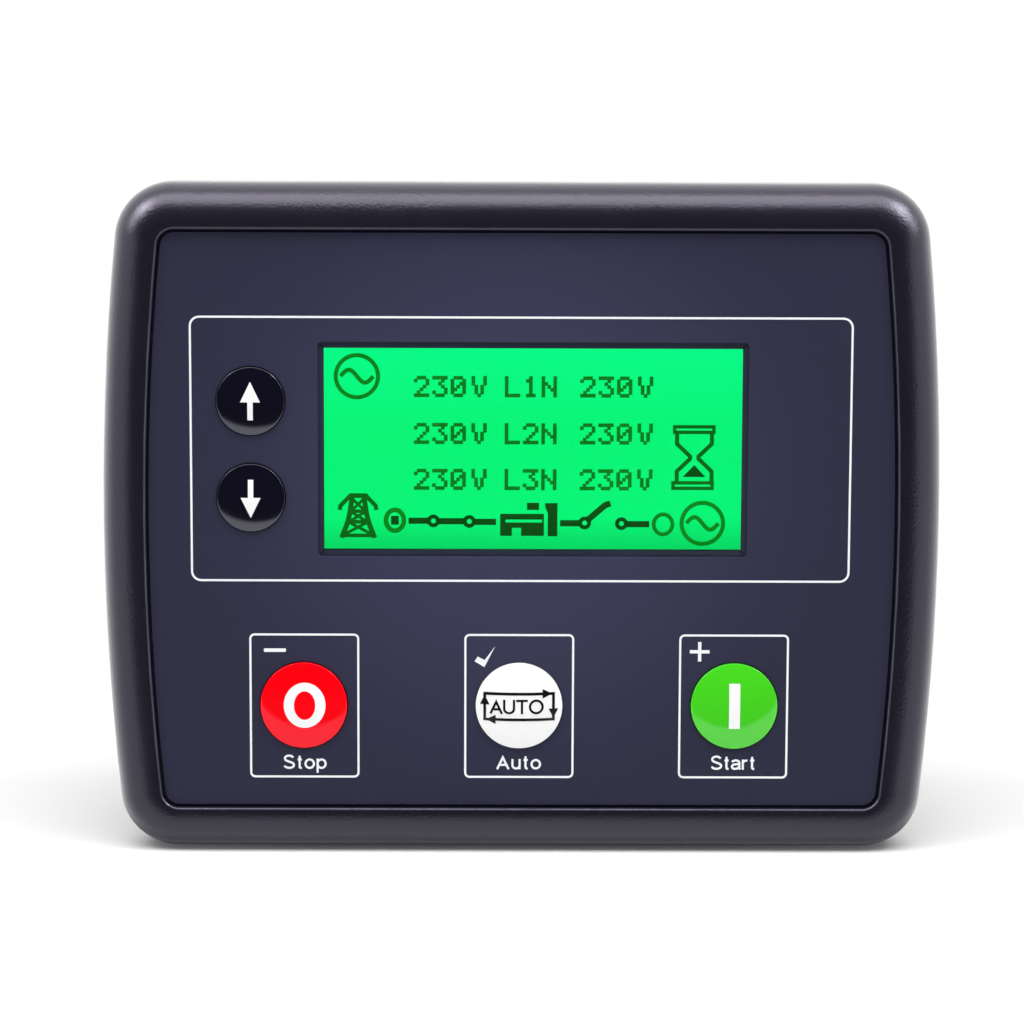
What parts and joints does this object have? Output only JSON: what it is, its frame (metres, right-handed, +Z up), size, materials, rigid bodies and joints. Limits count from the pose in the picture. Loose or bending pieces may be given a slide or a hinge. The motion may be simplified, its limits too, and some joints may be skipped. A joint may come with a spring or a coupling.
{
  "type": "genset controller",
  "caption": "Panel-mounted generator controller: bowed black bezel, green backlit screen, domed push keys, rear tub with plug-in terminals and clamp clips.",
  "frame": {"origin": "centre of the panel face that the gasket rests on", "axes": "-Y out of the front, +Y through the panel to the rear, +X right seen from the front, +Z up"},
  "size_m": [0.14, 0.0437, 0.112],
  "materials": {
    "rim_plastic": "black moulded plastic with a fine satin grain",
    "printed_film": "matte slate-blue printed polyester film",
    "window_acrylic": "clear acrylic",
    "black_frame": "black stamped sheet",
    "screen_glass": "backlit green screen",
    "diffuser": "milky light guide",
    "red_key": "polished red plastic",
    "white_key": "polished white plastic",
    "green_key": "polished green plastic",
    "black_key": "polished black plastic",
    "switch_plastic": "black switch plastic",
    "board_laminate": "green circuit-board laminate",
    "chip_plastic": "black moulded package",
    "spacer_brass": "plain brass",
    "screw_steel": "zinc-plated steel",
    "relay_plastic": "blue relay cover",
    "can_aluminium": "sleeved can",
    "socket_steel": "plated socket shell",
    "header_plastic": "green terminal plastic",
    "plug_plastic": "green terminal plastic",
    "pin_brass": "plated contact pin",
    "tub_plastic": "black moulded plastic",
    "gasket_rubber": "closed-cell foam rubber"
  },
  "bodies": {
    "housing": {"bezel": "rim_plastic", "fascia_film": "printed_film", "display_window": "window_acrylic", "display_frame": "black_frame", "display_glass": "screen_glass", "display_backlight": "diffuser", "key_switches": "switch_plastic", "front_board": "board_laminate", "controller_chip": "chip_plastic", "board_spacers": "spacer_brass", "link_header": "chip_plastic", "link_socket": "chip_plastic", "terminal_board": "board_laminate", "board_screws": "screw_steel", "generator_relay": "relay_plastic", "mains_relay": "relay_plastic", "capacitors": "can_aluminium", "supply_choke": "chip_plastic", "usb_socket": "socket_steel", "supply_header": "header_plastic", "sensor_header": "header_plastic", "generator_header": "header_plastic", "mains_header": "header_plastic", "current_header": "header_plastic", "header_pins": "pin_brass", "supply_plug": "plug_plastic", "sensor_plug": "plug_plastic", "generator_plug": "plug_plastic", "mains_plug": "plug_plastic", "current_plug": "plug_plastic", "terminal_screws": "screw_steel", "rear_case": "tub_plastic", "case_screws": "screw_steel", "panel_gasket": "gasket_rubber", "left_clip": "tub_plastic", "right_clip": "tub_plastic"},
    "stop_button": {"stop_key": "red_key", "stop_plunger": "switch_plastic"},
    "auto_button": {"auto_key": "white_key", "auto_plunger": "switch_plastic"},
    "start_button": {"start_key": "green_key", "start_plunger": "switch_plastic"},
    "up_button": {"up_key": "black_key", "up_plunger": "switch_plastic"},
    "down_button": {"down_key": "black_key", "down_plunger": "switch_plastic"},
    "left_clamp": {"left_clip_screw": "screw_steel"},
    "right_clamp": {"right_clip_screw": "screw_steel"}
  },
  "joints": [
    {"name": "stop_press", "type": "slide", "parent": "housing", "child": "stop_button", "axis": [0, 1, 0], "range_m": [0, 0.0008], "stiffness_N_per_m": 1500},
    {"name": "auto_press", "type": "slide", "parent": "housing", "child": "auto_button", "axis": [0, 1, 0], "range_m": [0, 0.0008], "stiffness_N_per_m": 1500},
    {"name": "start_press", "type": "slide", "parent": "housing", "child": "start_button", "axis": [0, 1, 0], "range_m": [0, 0.0008], "stiffness_N_per_m": 1500},
    {"name": "up_press", "type": "slide", "parent": "housing", "child": "up_button", "axis": [0, 1, 0], "range_m": [0, 0.0008], "stiffness_N_per_m": 1500},
    {"name": "down_press", "type": "slide", "parent": "housing", "child": "down_button", "axis": [0, 1, 0], "range_m": [0, 0.0008], "stiffness_N_per_m": 1500},
    {"name": "left_clamp_travel", "type": "slide", "parent": "housing", "child": "left_clamp", "axis": [0, -1, 0], "range_m": [0, 0.007]},
    {"name": "right_clamp_travel", "type": "slide", "parent": "housing", "child": "right_clamp", "axis": [0, -1, 0], "range_m": [0, 0.007]}
  ]
}
